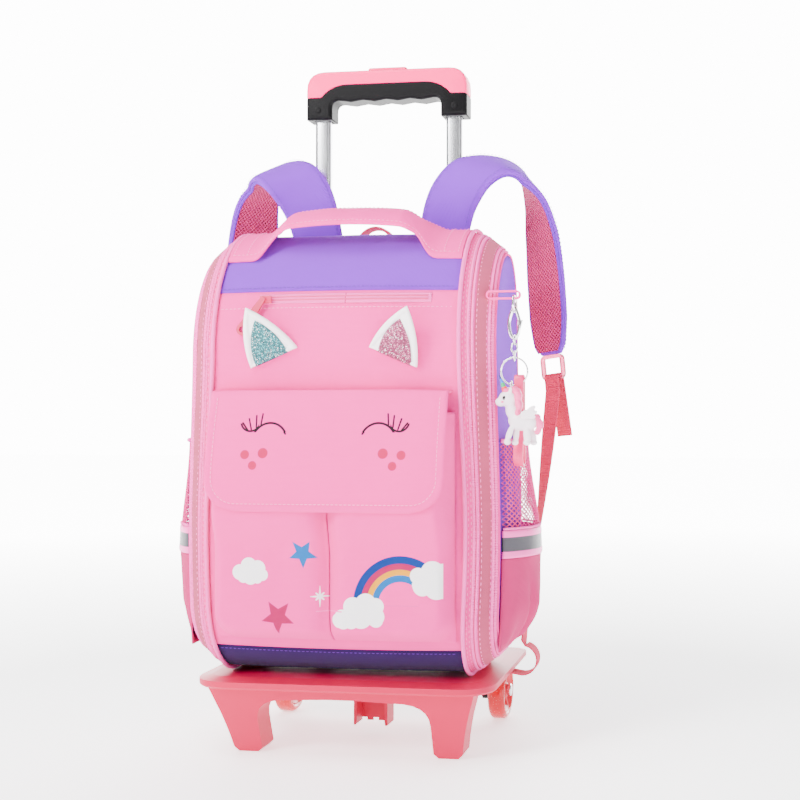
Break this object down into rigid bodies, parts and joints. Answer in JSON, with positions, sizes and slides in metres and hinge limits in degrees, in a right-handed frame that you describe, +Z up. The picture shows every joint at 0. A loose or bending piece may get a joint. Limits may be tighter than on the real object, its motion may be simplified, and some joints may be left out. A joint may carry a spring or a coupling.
{
  "type": "wheeled backpack",
  "caption": "Child's soft backpack with cat-face flap, side pockets and shoulder straps, on a two-wheeled trolley base with a telescopic pull handle.",
  "frame": {"origin": "centre of the bounding box at floor level, standing on its front feet and wheels", "axes": "+Z up, -Y the bag's decorated front, +X to the right of someone who looks at the front"},
  "size_m": [0.3794, 0.267, 0.6904],
  "materials": {
    "pink_cloth": "pink twill, bright prints on the front",
    "purple_cloth": "lavender purple woven cloth",
    "white_cloth": "white satin cloth",
    "piping": "pink piping",
    "zip_tape": "pink zip tape and teeth",
    "glitter": "glitter cloth",
    "reflective": "grey reflective band with pink edges",
    "net": "pink mesh",
    "webbing": "pink woven webbing",
    "clear_pink": "translucent pink",
    "base_plastic": "moulded, semi-gloss red pink",
    "steel": "polished",
    "black_plastic": "moulded, satin",
    "pink_plastic": "moulded, semi-gloss",
    "aluminium": "brushed",
    "tyre_rubber": "translucent red pink",
    "hub_plastic": "moulded, semi-gloss",
    "silicone": "soft matt pink",
    "figure": "white with coloured mane and horn"
  },
  "bodies": {
    "backpack": {"front_panel": "pink_cloth", "yoke_panel": "purple_cloth", "back_panel": "purple_cloth", "base_panel": "purple_cloth", "gusset_left": "pink_cloth", "side_panel_left": "purple_cloth", "front_piping_left": "piping", "side_zip_front_left": "zip_tape", "side_zip_rear_left": "zip_tape", "front_pocket_left": "pink_cloth", "ear_left": "white_cloth", "ear_inner_left": "glitter", "side_pocket_left": "pink_cloth", "pocket_strip_left": "reflective", "pocket_net_left": "net", "shoulder_strap_left": "purple_cloth", "buckle_left": "clear_pink", "strap_webbing_left": "webbing", "gusset_right": "pink_cloth", "side_panel_right": "purple_cloth", "front_piping_right": "piping", "side_zip_front_right": "zip_tape", "side_zip_rear_right": "zip_tape", "front_pocket_right": "pink_cloth", "ear_right": "white_cloth", "ear_inner_right": "glitter", "side_pocket_right": "pink_cloth", "pocket_strip_right": "reflective", "pocket_net_right": "net", "shoulder_strap_right": "purple_cloth", "buckle_right": "clear_pink", "strap_webbing_right": "webbing", "pocket_flap": "pink_cloth", "front_zip": "zip_tape", "zip_slider": "steel", "zip_pull": "silicone", "back_pad": "net", "carry_handle": "pink_cloth", "hang_loop": "webbing", "trolley_base": "base_plastic", "axle": "steel", "axle_carrier": "black_plastic", "outer_tube_left": "aluminium", "outer_tube_right": "aluminium", "charm_tab": "pink_cloth", "d_ring": "steel", "lobster_clasp": "steel", "charm_chain": "steel", "split_ring": "steel", "charm_figure": "figure", "charm_band": "silicone"},
    "handle": {"inner_tube_left": "aluminium", "inner_tube_right": "aluminium", "grip_housing": "black_plastic", "grip_cap": "pink_plastic"},
    "push_button": {"push_button": "pink_plastic"},
    "wheel_left": {"tyre_left": "tyre_rubber", "hub_left": "hub_plastic"},
    "wheel_right": {"tyre_right": "tyre_rubber", "hub_right": "hub_plastic"}
  },
  "joints": [
    {"name": "handle_slide", "type": "slide", "parent": "backpack", "child": "handle", "axis": [0, 0, 1], "range_m": [-0.149, 0.2]},
    {"name": "button_press", "type": "slide", "parent": "handle", "child": "push_button", "axis": [0, 0, -1], "range_m": [0, 0.003], "stiffness_N_per_m": 600, "springref_m": -0.001},
    {"name": "wheel_left_spin", "type": "hinge", "parent": "backpack", "child": "wheel_left", "pos_m": [-0.12292, 0.1035, 0.03], "axis": [1, 0, 0], "continuous": true},
    {"name": "wheel_right_spin", "type": "hinge", "parent": "backpack", "child": "wheel_right", "pos_m": [0.11108, 0.1035, 0.03], "axis": [1, 0, 0], "continuous": true}
  ]
}
